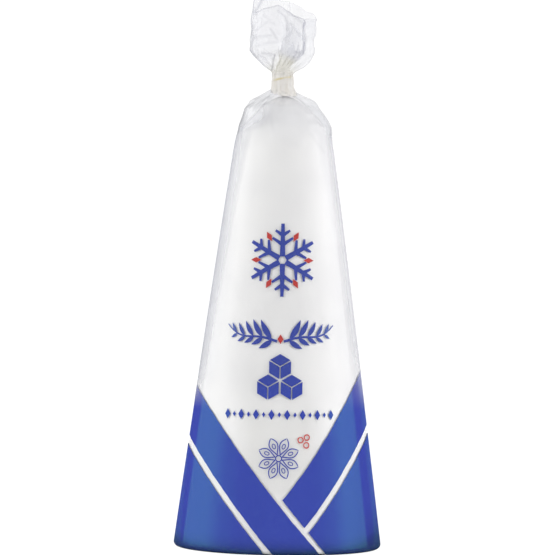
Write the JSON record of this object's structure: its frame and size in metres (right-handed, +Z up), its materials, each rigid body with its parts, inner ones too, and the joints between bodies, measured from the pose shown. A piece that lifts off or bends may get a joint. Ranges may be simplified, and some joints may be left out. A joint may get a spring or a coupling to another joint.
{
  "type": "sugar loaf in a film bag",
  "caption": "Tall cone of pressed white sugar in a clear printed film bag, gathered and taped at the neck under a crumpled tuft. It stands on its flat base.",
  "frame": {"origin": "middle of the flat base, on the surface it stands on", "axes": "+Z up along the cone, -Y towards the front of the print, +X to the right"},
  "size_m": [0.0654, 0.0654, 0.1767],
  "materials": {
    "sugar": "fine-grained pressed white sugar",
    "film": "thin clear glossy plastic film",
    "tape": "thin beige translucent tape, satin",
    "blue_ink": "even blue printing ink on the inside of the film, glossy through it",
    "red_ink": "even red printing ink on the inside of the film, for small motifs"
  },
  "bodies": {
    "root": {"bag": "sugar", "neck_tape": "tape"}
  },
  "joints": []
}
